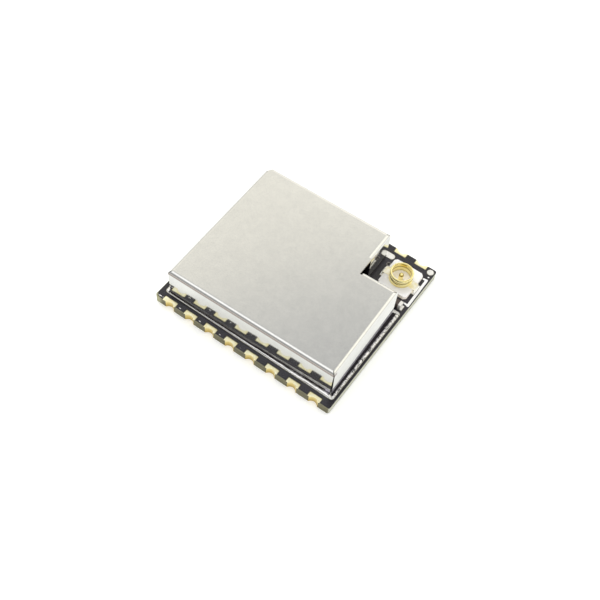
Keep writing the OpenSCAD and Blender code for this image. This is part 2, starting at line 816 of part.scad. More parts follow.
board_core();
mask_top();
mask_under();
shield_land();
coax_lands();
chip_lands();
test_land();
via();
shield_can();
solder_front();
solder_right();
solder_left();
solder_rear();
coax_base();
coax_shell();
coax_contact();
coax_leg_solder();
coax_tail_solder();
radio_chip();
radio_terminals();
flash_chip();
flash_leads();
crystal_base();
crystal_lid();
capacitors();
capacitor_ends();
resistors();
resistor_ends();
inductors();
inductor_ends();
aerial_capacitor();
aerial_capacitor_ends();
for (i = [1:pad_n]) {
    edge_pad(i, 180);
    edge_pad(i, 0);
}
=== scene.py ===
# A small surface-mount wifi module: castellated board, folded shield can and push-on coax socket.
# Metres, in the frame of the solids: +X along the front row of pads, +Y to the rear row, +Z up.
import math

import bpy
import numpy as np
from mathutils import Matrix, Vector


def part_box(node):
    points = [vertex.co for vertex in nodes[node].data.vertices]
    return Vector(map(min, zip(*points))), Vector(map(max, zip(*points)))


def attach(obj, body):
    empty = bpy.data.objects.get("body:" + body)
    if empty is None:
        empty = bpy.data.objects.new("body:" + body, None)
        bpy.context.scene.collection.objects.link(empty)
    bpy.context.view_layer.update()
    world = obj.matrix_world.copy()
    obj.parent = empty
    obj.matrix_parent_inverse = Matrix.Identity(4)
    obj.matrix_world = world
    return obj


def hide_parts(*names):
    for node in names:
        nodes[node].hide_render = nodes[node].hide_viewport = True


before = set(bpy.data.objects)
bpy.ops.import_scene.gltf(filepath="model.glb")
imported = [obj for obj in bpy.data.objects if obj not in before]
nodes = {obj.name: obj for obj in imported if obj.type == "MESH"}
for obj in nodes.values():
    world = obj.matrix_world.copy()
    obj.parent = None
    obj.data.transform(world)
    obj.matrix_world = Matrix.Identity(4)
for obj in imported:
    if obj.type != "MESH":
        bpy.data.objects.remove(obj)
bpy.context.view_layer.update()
MM = 0.001


# ---- Laminate ----
# The board's core is woven glass in epoxy, pressed in layers and sawn to size. Its sawn edge is
# olive brown along the rows of pads; the right end and the front-left corner are painted light, drawn
# paler.
class Signal:
    """One output of a material's node tree. Arithmetic on it adds Math nodes."""

    def __init__(self, socket):
        self.socket = socket

    def node(self, kind, settings, *values, out=0, **named):
        """Adds a node: its settings first, then values or signals for its sockets, by place or name."""
        tree = self.socket.id_data
        made = tree.nodes.new(kind)
        for key, value in settings.items():
            setattr(made, key, value)
        for where, value in [*enumerate(values), *named.items()]:
            target = made.inputs[where.replace("_", " ") if isinstance(where, str) else where]
            if isinstance(value, Signal):
                tree.links.new(value.socket, target)
            elif value is not None:
                target.default_value = value
        return Signal(made.outputs[out]) if len(made.outputs) else None

    def math(self, operation, *others):
        return self.node("ShaderNodeMath", {"operation": operation}, self, *others)

    def __add__(self, other):
        return self.math("ADD", other)

    __radd__ = __add__

    def __sub__(self, other):
        return self.math("SUBTRACT", other)

    def __rsub__(self, other):
        return self.node("ShaderNodeMath", {"operation": "SUBTRACT"}, other, self)

    def __mul__(self, other):
        return self.math("MULTIPLY", other)

    __rmul__ = __mul__

    def step(self, low, high):
        """0 below low, 1 above high, smooth between."""
        return self.node("ShaderNodeMapRange", {"interpolation_type": "SMOOTHSTEP"}, self, low, high)

    def near(self, middle, reach):
        """1 at middle, falling to 0 at reach on both sides."""
        return 1 - (self - middle).math("ABSOLUTE").step(0, reach)

    def noise(self, size, detail=2.0, stretch=(1, 1, 1)):
        """Soft noise from 0 to 1 whose blotches are about size mm across, drawn out by stretch."""
        scale = [1 / (size * MM * s) for s in stretch]
        placed = self.node("ShaderNodeMapping", {"vector_type": "POINT"}, self, Scale=scale)
        return placed.node("ShaderNodeTexNoise", {}, placed, Scale=1.0, Detail=detail)

    def axis(self, letter):
        """One coordinate of a position, in millimetres."""
        return self.node("ShaderNodeSeparateXYZ", {}, self, out="XYZ".index(letter)) * (1 / MM)

    def mix(self, low, high):
        """Colour low where this is 0, high where it is 1. Either may be a signal."""
        kind = {"data_type": "RGBA"}
        return self.node("ShaderNodeMix", kind, self, None, None, None, None, None, low, high, out=2)

    def bump(self, depth):
        """Normal of a surface raised by this signal times depth in mm."""
        return self.node("ShaderNodeBump", {}, Strength=1.0, Distance=depth * MM, Height=self)


def colour(code):
    """Linear colour of a written code: ((c + 0.055) / 1.055) ** 2.4."""
    parts = np.array([int(code[i:i + 2], 16) / 255 for i in (1, 3, 5)])
    linear = np.where(parts < 0.04045, parts / 12.92, ((parts + 0.055) / 1.055) ** 2.4)
    return (*linear.tolist(), 1.0)


def material(name, dress):
    """Material whose shader is what dress returns for its Object coordinates."""
    made = bpy.data.materials.new(name)
    made.use_nodes = True
    made.node_tree.nodes.clear()
    place = Signal(made.node_tree.nodes.new("ShaderNodeTexCoord").outputs["Object"])
    place.node("ShaderNodeOutputMaterial", {}, dress(place))
    return made


def principled(place, **values):
    return place.node("ShaderNodeBsdfPrincipled", {}, **values)


def put_on(finish, *names):
    """Gives solids of the frame their finish."""
    for name in names:
        nodes[name].data.materials.clear()
        nodes[name].data.materials.append(finish)


board_x, board_y = 8.45, 8.0
corner_from, corner_to = 0.75, 0.35


def laminate(place):
    cloth = place.noise(0.6, 3.0, (1.0, 1.0, 0.12))
    weave = place.noise(0.12, 2.0, (1.0, 1.0, 0.6))
    tone = (cloth * 0.7 + weave * 0.3).step(0.3, 0.7)
    # Painted light: the right end is drawn paler, as if brightly lit.
    painted_light_end = place.axis("X").step(board_x - 0.12, board_x - 0.03)
    # Painted light: the left end and front-left corner are drawn paler, as if lit.
    corner = place.axis("X").step(corner_from - board_x, corner_to - board_x)
    long_side = corner.mix(tone.mix(colour("#57533D"), colour("#837D5E")),
                           tone.mix(colour("#A5A27C"), colour("#BDB994")))
    base = painted_light_end.mix(long_side, tone.mix(colour("#C2C2AA"), colour("#D8D8C6")))
    return principled(place, Base_Color=base, Roughness=0.55, Normal=weave.bump(0.01))


put_on(material("sawn laminate", laminate), "board_core")


# ---- Solder mask ----
# A film of black epoxy ink, printed over the copper and cured, with openings at every land. It has
# a soft shine and a faint violet cast, and small painted glints of light along the cut edge.
pitch, row_start = 2.0, -7.0
bare_in, bare_from, bare_to = 0.5, 0.2, 0.26


def mask(place):
    """Painted glints lie half way between the pads and thin out to the right, and more lie along the
    front-left corner. At the front-left corner the mask is bare where out_x ** 2 + out_y ** 2,
    measured from a point bare_in inside both edges, passes from bare_from to bare_to."""
    grain = place.noise(0.05, 2.0)
    cloud = place.noise(1.2, 2.0)
    ink = cloud.step(0.3, 0.7).mix(colour("#17151D"), colour("#231F2B"))
    x, y = place.axis("X"), place.axis("Y")
    tooth = (x - row_start).math("WRAP", pitch, 0.0)
    spread = place.noise(0.09, 2.0).step(0.45, 0.6)
    fading = 1 - x.step(-6.5, 5.0) * 0.9
    # Painted highlight: bright glints between the pads and along the front-left corner, thinning out to
    # the right.
    painted_glints = tooth.near(pitch / 2 - 0.05, 0.2) * y.near(0.18 - board_y, 0.07) * fading
    corner = x.step(-7.5, -7.7) * x.step(-8.5, -8.3) * y.near(0.16 - board_y, 0.08) * spread
    bright = (painted_glints + corner).step(0.35, 0.6)
    out_x = (bare_in - board_x - x).math("MAXIMUM", 0.0)
    out_y = (bare_in - board_y - y).math("MAXIMUM", 0.0)
    bare = (out_x * out_x + out_y * out_y).step(bare_from, bare_to)
    base = bright.mix(bare.mix(ink, colour("#8E8D66")), colour("#F4F2EE"))
    return principled(place, Base_Color=base, Roughness=0.22 + grain * 0.12, Specular_IOR_Level=0.6,
                      Normal=grain.bump(0.0015))


put_on(material("black solder mask", mask), "mask_top", "mask_under")


# ---- Edge pads ----
# Copper, plated with nickel and a thin pale gold. A pad is one plated piece with soft edges: a land
# on top, the half barrel left when the hole was sawn through, and a longer land underneath.
pads, pad_half, pad_top, pad_under, pad_corner, first_extra = 8, 0.55, 0.42, 1.0, 0.08, 0.15
hole, hole_out, plating, film, board_t = 0.45, 0.22, 0.05, 0.04, 0.8


def tube(loops):
    """Closed surface through a stack of loops, each row a loop, with both end loops filled. Points
    are numbered row by row, and the last of a row joins the first."""
    rows, columns = loops.shape[:2]
    i, j = np.meshgrid(np.arange(rows - 1), np.arange(columns), indexing="ij")
    low, high, k = i * columns, (i + 1) * columns, (j + 1) % columns
    faces = np.stack([low + j, low + k, high + k, high + j], -1).reshape(-1, 4).tolist()
    faces += [list(range(columns))[::-1], list(range((rows - 1) * columns, rows * columns))]
    return loops.reshape(-1, 3), faces


def soft_plate(outline, low, high, edge):
    """A flat sheet whose upper rim is rounded. The outline runs anticlockwise. Going up, it moves
    in along its own normal by edge (1 - cos a) while it rises by edge sin a."""
    outline = np.asarray(outline, float)
    along = np.roll(outline, -1, 0) - np.roll(outline, 1, 0)
    along /= np.linalg.norm(along, axis=1)[:, None]
    inward = np.stack([-along[:, 1], along[:, 0]], -1)
    a = np.linspace(0, math.pi / 2, 4)
    inset = np.concatenate([[0], edge * (1 - np.cos(a))])
    height = np.concatenate([[low], high - edge + edge * np.sin(a)])
    flat = outline[None] + inward[None] * inset[:, None, None]
    tall = np.broadcast_to(height[:, None, None], (*flat.shape[:2], 1))
    return tube(np.concatenate([flat, tall], -1))


def build(name, parts, finish, slot, *solids, sharp=35):
    """One piece from parts: points in mm, faces and, where the finish follows the surface, the UV of
    each point. Faces meeting at more than sharp degrees keep a sharp edge."""
    points, faces, runs = [], [], []
    for part in parts:
        start = sum(len(p) for p in points)
        points.append(np.asarray(part[0], float).reshape(-1, 3) * MM)
        faces += [[start + k for k in face] for face in part[1]]
        runs += [np.asarray(part[2], float).reshape(-1, 2)] if len(part) > 2 else []
    mesh = bpy.data.meshes.new(name)
    mesh.from_pydata(np.concatenate(points).tolist(), [], faces)
    if runs:
        corner = np.empty(len(mesh.loops), int)
        mesh.loops.foreach_get("vertex_index", corner)
        mesh.uv_layers.new(name="run").data.foreach_set("uv", np.concatenate(runs)[corner].ravel())
    mesh.validate()
    mesh.polygons.foreach_set("use_smooth", [True] * len(mesh.polygons))
    mesh.set_sharp_from_angle(angle=math.radians(sharp))
    mesh.materials.append(finish)
    made = bpy.data.objects.new(name, mesh)
    bpy.context.scene.collection.objects.link(made)
    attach(made, "root")
    if solids:
        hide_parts(*solids)
    return made


def placed(points, at, turn):
    """Points turned by an angle about +Z and moved: (x cos - y sin, x sin + y cos, z) + at."""
    x, y, z = np.moveaxis(np.asarray(points, float), -1, 0)
    c, s = math.cos(turn), math.sin(turn)
    return np.stack([x * c - y * s + at[0], x * s + y * c + at[1], z + at[2]], -1)


def arc(radius, start, end, steps):
    """Points of a circle's arc about the origin: radius (cos a, sin a), angles in degrees."""
    a = np.radians(np.linspace(start, end, steps))
    return radius * np.stack([np.cos(a), np.sin(a)], -1)


def pad(at, turn, extra):
    """Three parts of one pad, which points out of the board along its own +Y: the land on top, the
    one underneath, and a barrel whose section (radius, height) is carried round the hole's arc."""
    start = math.degrees(math.asin(-hole_out / hole))
    bite = arc(hole, start, -180 - start, 17) + (0, hole_out)

    def land(depth):
        inset = pad_corner - depth
        rear = np.concatenate([arc(pad_corner, 180, 270, 4) + (-pad_half + pad_corner, inset),
                               arc(pad_corner, 270, 360, 4) + (pad_half + extra - pad_corner, inset)])
        return np.concatenate([rear, [(pad_half + extra, 0)], bite, [(-pad_half, 0)]])

    section = np.array([(hole, 0.01), (hole + plating, 0.01), (hole + plating, board_t - film),
                        (hole + 0.02, board_t - 0.01), (hole + 0.006, board_t - 0.012),
                        (hole, board_t - 0.03)])
    way = arc(1, start, -180 - start, 21)
    loops = np.concatenate([way[:, None] * section[None, :, :1] + (0, hole_out),
                            np.broadcast_to(section[None, :, 1:], (len(way), len(section), 1))], -1)
    parts = [soft_plate(land(pad_top), board_t - film, board_t, 0.03),
             soft_plate(land(pad_under), 0, film, 0.004), tube(loops)]
    return [(placed(points, at, turn), faces) for points, faces in parts]


def gold(place):
    """Pale on top, and darker down the half barrel, most of all at its foot: painted shade in the
    hollow.
    """
    cloud = place.noise(0.4, 3.0)
    grain = place.noise(0.04, 2.0)
    # Painted shade: the gold is drawn darker down the hollow barrel, darkest at its foot.
    low = place.axis("Z").step(board_t - 0.05, board_t - 0.35)
    bright = cloud.step(0.3, 0.7).mix(colour("#FFF3BE"), colour("#FFFCDA"))
    barrel_painted_shade = place.axis("Z").step(0.5, 0.05).mix(colour("#EAD48A"), colour("#CBB268"))
    return principled(place, Base_Color=low.mix(bright, barrel_painted_shade), Metallic=0.6,
                      Roughness=0.26 + grain * 0.16, Normal=(grain * 0.3 + cloud).bump(0.01))


gold_finish = material("pale gold plating", gold)
for row, side, turn in (("front", -1, math.pi), ("rear", 1, 0.0)):
    row_parts = []
    for i in range(pads):
        extra = first_extra if row == "front" and i == 0 else 0.0
        row_parts += pad((row_start + pitch * i, side * board_y, 0), turn, extra)
    build(f"{row}_pads", row_parts, gold_finish, "gold_land",
          *[f"pad_{row}_{i + 1}" for i in range(pads)])


def land_gold(place):
    """Gold under the can. At the aerial capacitor the lands are drawn dark on their left and
    wetted white with solder on their right."""
    cloud = place.noise(0.4, 3.0)
    outside = place.axis("X").step(6.7, 6.9) * place.axis("Y").step(2.6, 2.8)
    wetted = place.axis("X").step(7.3, 7.4).mix(colour("#3A3432"), colour("#F6F5F2"))
    plated = cloud.step(0.3, 0.7).mix(colour("#F0DC9A"), colour("#FBEFBE"))
    return principled(place, Base_Color=outside.mix(plated, wetted), Metallic=0.8,
                      Roughness=0.3 + cloud * 0.1, Normal=cloud.bump(0.01))


put_on(material("gold chip lands", land_gold), "chip_lands")


# ---- Via ----
# The small plated hole beside the socket joins the ground on both faces. The mask runs over its
# rim, so it shows only as a dull dark ring with a bright line.
def covered_copper(place):
    grain = place.noise(0.05, 2.0)
    base = grain.step(0.4, 0.7).mix(colour("#4A464C"), colour("#A5A096"))
    return principled(place, Base_Color=base, Metallic=0.5, Roughness=0.3 + grain * 0.2,
                      Normal=grain.bump(0.003))


put_on(material("mask over copper", covered_copper), "via")


# ---- Tinned lands ----
# The ground land under the can's foot, the lands of the coax socket and the round test land are
# copper that the solder has wetted, so they are bright, slightly uneven tin.
def tin(place):
    cloud = place.noise(0.35, 3.0)
    grain = place.noise(0.06, 2.0)
    base = cloud.step(0.3, 0.7).mix(colour("#E6E5E2"), colour("#FAF9F6"))
    return principled(place, Base_Color=base, Metallic=0.75, Roughness=0.35 + grain * 0.15,
                      Normal=cloud.bump(0.01))


tin_finish = material("wetted tin", tin)
put_on(tin_finish, "shield_land", "coax_lands", "test_land")


# ---- Shield can ----
# One sheet of tinned steel, 0.2 mm thick, cut out flat and folded. The top has a satin grain, the
# bends are polished by the tool, the walls part along slits at the corners, and the corner notch
# is left open where one of its walls stops short.
can_l, can_w, can_h = 15.5, 13.7, 3.0
sheet, bend, lip = 0.2, 0.34, 0.38
notch_x, notch_y, relief = 4.4, 2.355, 1.4
clip_l, clip_w = 0.5, 0.65
slit_top, slit_foot = 0.06, 0.2
can_turn = math.radians(1.2)
can_at = (-0.04, -0.2, board_t)
can_top = board_t + can_h
half_l, half_w = can_l / 2, can_w / 2


def wall_section():
    """Loop of a wall's section as (depth, height): up the outer face, round the bend by
    r (1 - cos a, sin a) to a short flat lip, back along the inside, down to the foot."""
    a = np.linspace(0, math.pi / 2, 12)
    outer = np.stack([bend * (1 - np.cos(a)), can_h - bend + bend * np.sin(a)], -1)
    r = bend - sheet
    inner = np.stack([bend - r * np.cos(a), can_h - bend + r * np.sin(a)], -1)[::-1]
    ends = [[[0, 0]], outer, [[lip, can_h], [lip, can_h - sheet]], inner, [[sheet, 0]]]
    return np.concatenate([np.asarray(e, float) for e in ends])


def wall(corner, turn, length, start, end, lean=0.0):
    """A wall from a corner of the can, along the direction turned by turn. Its section is carried
    along x; at a mitred end (1) it stops at x = depth plus half the slit times the root of two.
    V of its UV is how far its face bellies out, lean times the distance down from the bend."""
    section = wall_section()
    depth, height = section[:, 0], section[:, 1]
    slit = (slit_foot + (slit_top - slit_foot) * height / can_h) / math.sqrt(2)
    slit = slit * np.clip((bend - depth) / (bend - sheet), 0, 1)
    x0 = start * (depth + slit)
    x1 = length - end * (depth + slit)
    t = np.linspace(0, 1, 9)[:, None]
    x = x0 + (x1 - x0) * t
    grid = np.stack([x, np.broadcast_to(depth, x.shape), np.broadcast_to(height, x.shape)], -1)
    points, faces = tube(grid[:, ::-1])
    belly = lean * (can_h - bend - np.minimum(points[:, 2], can_h - bend))
    run = np.stack([np.zeros(len(points)), belly], -1)
    return placed(placed(points, (*corner, 0), turn), can_at, can_turn), faces, run


def plate(outline, low, high):
    """A flat sheet between two heights, from its outline, which runs anticlockwise."""
    outline = np.asarray(outline, float)
    loops = np.broadcast_to(outline, (2, *outline.shape))
    tall = np.broadcast_to(np.array([low, high])[:, None, None], (2, len(outline), 1))
    return tube(np.concatenate([loops, tall], -1))


def can_sheet(place):
    """Satin on top and smoother on the walls, with a dark line of painted reflection along the front
    bend and painted reflection near the foot. V of the UV is how far a wall bellies out, and turns its
    normal."""
    grain = place.noise(0.05, 3.0)
    cloud = place.noise(4.0, 2.0)
    worn = place.noise(0.7, 4.0)
    tone = (cloud * 0.4 + worn * 0.6).step(0.25, 0.75)
    fine = place.noise(0.11, 2.0).step(0.3, 0.7)
    steel = (tone * 0.6 + fine * 0.4).mix(colour("#DCDCDA"), colour("#E8E8E5"))
    z = place.axis("Z")
    top = z.step(can_top - 0.05, can_top)
    # Painted reflection: a dark line along the lower part of the front bend.
    front_bend_painted_reflection = z.near(can_top - 0.25, 0.15) * place.axis("Y").step(-6.4, -6.6)
    steel = (front_bend_painted_reflection * 0.85).mix(steel, colour("#7E6C66"))
    # Painted reflection: near the foot the walls are drawn darker and less metallic, dark at the front
    # and left and lavender on the right, for the mask and solder they mirror.
    right_side = place.axis("X").step(7.2, 7.4)
    painted_foot_reflection = (z + (worn - 0.5) * 0.3 - right_side * 0.1).step(board_t + 0.65, board_t + 0.25)
    base = painted_foot_reflection.mix(steel, right_side.mix(colour("#3C3634"), colour("#A19DA8")))
    run = place.node("ShaderNodeUVMap", {"uv_map": "run"})
    belly = run.node("ShaderNodeSeparateXYZ", {}, run, out=1)
    return principled(place, Base_Color=base, Metallic=1 - painted_foot_reflection * 0.6,
                      Roughness=0.07 + top * 0.1 + grain * 0.05,
                      Normal=(belly + grain * (0.0002 + 0.0008 * top)).bump(1.0))


can_finish = material("tinned steel sheet", can_sheet)
top_outline = [(-half_l + lip, -half_w + lip), (half_l - lip, -half_w + lip),
               (half_l - lip, notch_y - lip), (notch_x, notch_y - lip),
               (notch_x, notch_y + relief), (notch_x - lip, notch_y + relief),
               (notch_x - lip, half_w - lip), (-half_l + clip_l, half_w - lip),
               (-half_l + clip_l, half_w - 0.12), (-half_l + 0.13, half_w - clip_w),
               (-half_l + lip, half_w - clip_w)]
top_points, top_faces = plate(top_outline, can_h - sheet, can_h)
build("folded_can", [
    wall((-half_l, -half_w), 0, can_l, 1, 1),
    wall((half_l, -half_w), math.pi / 2, half_w + notch_y, 1, 1, lean=0.3),
    wall((half_l, notch_y), math.pi, half_l - notch_x - sheet, 1, 0),
    wall((notch_x, notch_y + relief), math.pi / 2, half_w - notch_y - relief, 0, 1),
    wall((notch_x, half_w), math.pi, half_l + notch_x - clip_l, 1, 0),
    wall((-half_l, half_w - clip_w), -math.pi / 2, can_w - clip_w, 0, 1),
    (placed(top_points, can_at, can_turn), top_faces, np.zeros((len(top_points), 2))),
], can_finish, "can_sheet", "shield_can")


# ---- Solder along the can's foot ----
# The can is soldered down all round. The solder climbs the wall in a hollow curve drawn dark with
# painted reflection, and swells into an uneven bright bead at the land's edge, with a round end where
# it stops.
def solder(pitting):
    """Follows the bead: U of its UV runs from the wall side (0) to the edge side (1)."""
    def dress(place):
        run = place.node("ShaderNodeUVMap", {"uv_map": "run"})
        across = run.node("ShaderNodeSeparateXYZ", {}, run, out=0)
        lumps = place.noise(0.25, 3.0)
        grain = place.noise(0.05, 2.0)
        # Painted reflection: the wall side of the bead is drawn dark for what its hollow mirrors.
        painted_foot_reflection = (across + (lumps - 0.5) * 0.4).step(0.12, -0.1)
        pits = place.noise(0.16, 2.0).step(0.5, 0.64) * pitting
        bright = lumps.step(0.3, 0.7).mix(colour("#E2E2E0"), colour("#FFFDFC"))
        dark = (painted_foot_reflection + pits).math("MINIMUM", 1.0)
        return principled(place, Base_Color=dark.mix(bright, colour("#2A282C")), Metallic=1.0,
                          Roughness=0.14 + grain * 0.12 + place.axis("X").step(0.0, 6.0) * 0.15,
                          Normal=(lumps * 0.8 + grain * 0.2).bump(0.01 + 0.05 * pitting))
    return dress


smooth_solder = material("smooth solder", solder(0.0))
rough_solder = material("uneven solder", solder(0.9))


def ripple(s, seed):
    """Uneven run of a bead along its length: sum of sines of s with settled wavelengths."""
    k = np.array([1.3, 2.9, 5.3, 9.1])[:, None]
    phase = np.array([0.3, 1.7, 2.9, 4.4])[:, None] * (seed + 1)
    return (np.sin(k * s + phase) * np.array([0.4, 0.3, 0.2, 0.1])[:, None]).sum(0)


def bead(foot, edge, climb, swell, span, seed):
    """Solder between a foot line on the wall and an edge line on the land. Across it, with u from 0
    at the wall to 1 at the edge, height = climb (1 - u) ** 3 + swell sqrt(1 - w ** 2), where w runs
    from -1 to 1 over the bead itself; both swell and shrink along the run. The bead's inner and
    outer u at the start and at the end are span. U of the UV is 0 and 1 at its two sides, and V is
    the way along in tenths of a mm."""
    foot, edge = np.asarray(foot, float), np.asarray(edge, float)
    t = np.linspace(0, 1, 240)
    along = np.linalg.norm(foot[1] - foot[0]) * t
    uneven = ripple(along, seed)
    taper = np.clip(np.minimum(t, 1 - t) * 40, 0, 1) ** 0.5
    u = np.linspace(0, 1, 26)
    a = foot[0] + (foot[1] - foot[0]) * t[:, None]
    b = edge[0] + (edge[1] - edge[0]) * t[:, None]
    flat = a[:, None] + (b - a)[:, None] * u[None, :, None]
    inner, outer = (np.interp(t, (0, 1), side)[:, None] for side in zip(*span))
    across = (u - inner) / (outer - inner)
    pillow = np.sqrt(np.clip(1 - (2 * across - 1) ** 2, 0, 1)) * (outer - inner) * 2
    rise = climb * (1 + 0.3 * uneven)[:, None] * (1 - u) ** 3
    rise = rise + swell * (1 + 0.5 * uneven)[:, None] * pillow
    top = np.concatenate([flat, (board_t + 0.003 + rise * taper[:, None])[..., None]], -1)
    ground = np.concatenate([flat[:, [-1, 0]], np.full((len(t), 2, 1), board_t - 0.01)], -1)
    grid = np.concatenate([top, ground], 1)
    run = np.stack([np.concatenate([across, across[:, [-1, 0]]], 1),
                    np.broadcast_to(along[:, None] * 10, grid.shape[:2])], -1)
    return *tube(grid[:, ::-1]), run[:, ::-1]


def can_point(x, y):
    """A point of the can's foot, in the board's frame."""
    return placed((x, y, 0), can_at, can_turn)[:2]


front_left, front_right = can_point(-half_l, -half_w), can_point(half_l, -half_w)
land_low, land_high = (np.array(corner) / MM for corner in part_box("shield_land"))
front_y = land_low[1] + 0.03
front_edge = [(land_high[0] - 0.1, front_y), (land_low[0] + 0.1, front_y)]
build("front_solder", [bead([front_right, front_left], front_edge, 0.05, 0.05,
                            [(0.05, 0.98), (0.45, 0.9)], 0)],
      smooth_solder, "solder", "solder_front", sharp=60)
notch_end = can_point(half_l, notch_y)
right_x = land_high[0] - 0.01
right_edge = [(right_x, notch_end[1] + 0.1), (right_x, land_low[1] + 0.1)]
build("right_solder", [bead([notch_end, front_right], right_edge, 0.12, 0.08,
                            [(0.5, 0.95), (0.4, 0.95)], 1)],
      rough_solder, "solder", "solder_right", sharp=60)
left_end = can_point(-half_l, half_w - clip_w)
left_x = land_low[0] + 0.02
left_edge = [(left_x, land_low[1] + 0.1), (left_x, left_end[1])]
build("left_solder", [bead([front_left, left_end], left_edge, 0.12, 0.05,
                           [(0.3, 0.95), (0.3, 0.95)], 2)],
      smooth_solder, "solder", "solder_left", sharp=60)
rear_left, rear_right = can_point(-half_l + clip_l, half_w), can_point(notch_x, half_w)
rear_edge = [(rear_left[0], rear_left[1] + 0.4), (rear_right[0] - 0.3, rear_right[1] + 0.4)]
build("rear_solder", [bead([rear_left, rear_right], rear_edge, 0.12, 0.05,
                           [(0.4, 0.95), (0.4, 0.95)], 3)],
      smooth_solder, "solder", "solder_rear", sharp=60)


# ---- Coax socket ----
# A push-on aerial socket: a white moulded base, a drawn brass shell, gold plated, whose groove
# holds the cable plug's catch, and a gold pin in the middle whose tail runs out under the base.
coax = np.array([6.44, 5.34, board_t])
ring_in, ring_out, ring_foot, ring_top = 0.83, 0.98, 0.23, 1.2
groove_low, groove_high, groove_depth = 0.72, 0.91, 0.05
ring_cut, groove_cut = 0.04, 0.012
base_floor = 0.3
leg_w, leg_reach, tail_w, tail_reach, strip_t = 0.75, 1.395, 0.5, 1.675, 0.12
pin_r, pin_foot_r, pin_axis = 0.2, 0.25, 0.0001


def revolve(profile, segments=96):
    """Surface of a closed profile (radius, height), which runs anticlockwise, turned about the
    socket's axis: (r cos a, r sin a, z)."""
    profile = np.asarray(profile, float)
    a = np.arange(segments) * (2 * math.pi / segments)
    r, z = profile[:, 0], profile[:, 1]
    grid = np.stack([np.cos(a)[:, None] * r, np.sin(a)[:, None] * r,
                     np.broadcast_to(z, (segments, len(r)))], -1)
    i = np.arange(segments)[:, None]
    j = np.arange(len(r))[None]
    k, m = (i + 1) % segments, (j + 1) % len(r)
    faces = np.stack([i * len(r) + j, k * len(r) + j, k * len(r) + m, i * len(r) + m], -1)
    return grid.reshape(-1, 3) + coax, faces.reshape(-1, 4).tolist()


def strip(path, width, turn=0.0):
    """A flat strip carried along a path of (x, z) points with mitred bends, centred on y = 0, then
    turned about the socket's axis. The path is its lower face."""
    path = np.asarray(path, float)
    d = np.diff(path, axis=0)
    d /= np.linalg.norm(d, axis=1)[:, None]
    n = np.stack([-d[:, 1], d[:, 0]], -1)
    before, after = np.vstack([n[:1], n]), np.vstack([n, n[-1:]])
    m = (before + after) / (1 + (before * after).sum(1))[:, None]
    both = np.stack([path, path, path + m * strip_t, path + m * strip_t], 1)
    side = np.broadcast_to(np.array([-1, 1, 1, -1]) * width / 2, both.shape[:2])
    points, faces = tube(np.stack([both[..., 0], side, both[..., 1]], -1))
    return placed(points, (0, 0, 0), turn) + coax, faces


def socket_gold(place):
    cloud = place.noise(0.5, 3.0)
    grain = place.noise(0.03, 2.0)
    # Painted shade: the gold is drawn darker in and around the groove.
    groove_painted_shade = place.axis("Z").near(board_t + (groove_low + groove_high) / 2, 0.13) * 0.8
    plated = cloud.step(0.3, 0.7).mix(colour("#F9E9A2"), colour("#FFF5BA"))
    base = groove_painted_shade.mix(plated, colour("#8A7A40"))
    return principled(place, Base_Color=base, Metallic=1.0, Roughness=0.14 + grain * 0.1,
                      Normal=grain.bump(0.001))


def leg_plating(place):
    cloud = place.noise(0.3, 3.0)
    base = cloud.step(0.3, 0.7).mix(colour("#F6ECC4"), colour("#FFFCEE"))
    return principled(place, Base_Color=base, Metallic=0.8, Roughness=0.25 + cloud * 0.1,
                      Normal=cloud.bump(0.01))


def moulded_white(place):
    """White outside. The floor inside the ring glows faintly and is drawn paler and warmer: painted
    light.
    """
    cloud = place.noise(0.5, 2.0)
    grain = place.noise(0.05, 3.0)
    # Painted light: the floor inside the ring glows and is drawn paler, though it is no lamp.
    inside = place.axis("Z").step(board_t + base_floor + 0.02, board_t + base_floor - 0.02)
    base = cloud.step(0.3, 0.7).mix(colour("#FAF8F6"), colour("#FEFDFC"))
    return principled(place, Base_Color=(inside * 0.5).mix(base, colour("#FFF2EA")),
                      Roughness=0.28 + grain * 0.15, Normal=grain.bump(0.002), Emission_Strength=1.0,
                      Emission_Color=inside.mix(colour("#000000"), colour("#857F70")))


shell_finish = material("polished gold plating", socket_gold)
put_on(material("white moulding", moulded_white), "coax_base")
groove_r = ring_out - groove_depth
ring = [(ring_in, ring_foot), (ring_out, ring_foot), (ring_out, groove_low),
        (ring_out - groove_cut, groove_low + 0.02), (groove_r, groove_low + groove_depth),
        (groove_r, groove_high - groove_depth), (ring_out - groove_cut, groove_high - 0.02),
        (ring_out, groove_high), (ring_out, ring_top - ring_cut),
        (ring_out - groove_cut, ring_top - groove_cut), (ring_out - ring_cut, ring_top),
        (ring_in + ring_cut, ring_top), (ring_in + groove_cut, ring_top - groove_cut),
        (ring_in, ring_top - ring_cut)]
leg_path = [(0.9, ring_foot), (leg_reach, ring_foot), (leg_reach, 0.0)]
leg_finish = material("wetted gold plating", leg_plating)
build("socket_shell", [revolve(ring)], shell_finish, "socket_gold", "coax_shell")
build("socket_legs", [strip(leg_path, leg_w), strip(leg_path, leg_w, math.pi)],
      leg_finish, "socket_gold", "coax_shell")
pin = [(pin_axis, 0.0), (pin_foot_r, 0.0), (pin_foot_r, strip_t), (pin_r, strip_t), (pin_r, 0.54),
       (0.155, 0.56), (0.155, 0.585), (pin_r, 0.61),
       *(arc(pin_r, 0, 90, 9) + (pin_axis, 0.75)).tolist()]
build("socket_pin", [revolve(pin, 40), strip([(0.0, 0.0), (tail_reach, 0.0)], tail_w, -math.pi / 2)],
      shell_finish, "socket_gold", "coax_contact")


def joint_solder(place):
    lumps = place.noise(0.15, 3.0)
    base = lumps.step(0.3, 0.7).mix(colour("#E4E4E2"), colour("#FBFBF9"))
    return principled(place, Base_Color=base, Metallic=1.0, Roughness=0.2 + lumps * 0.15,
                      Normal=lumps.bump(0.02))


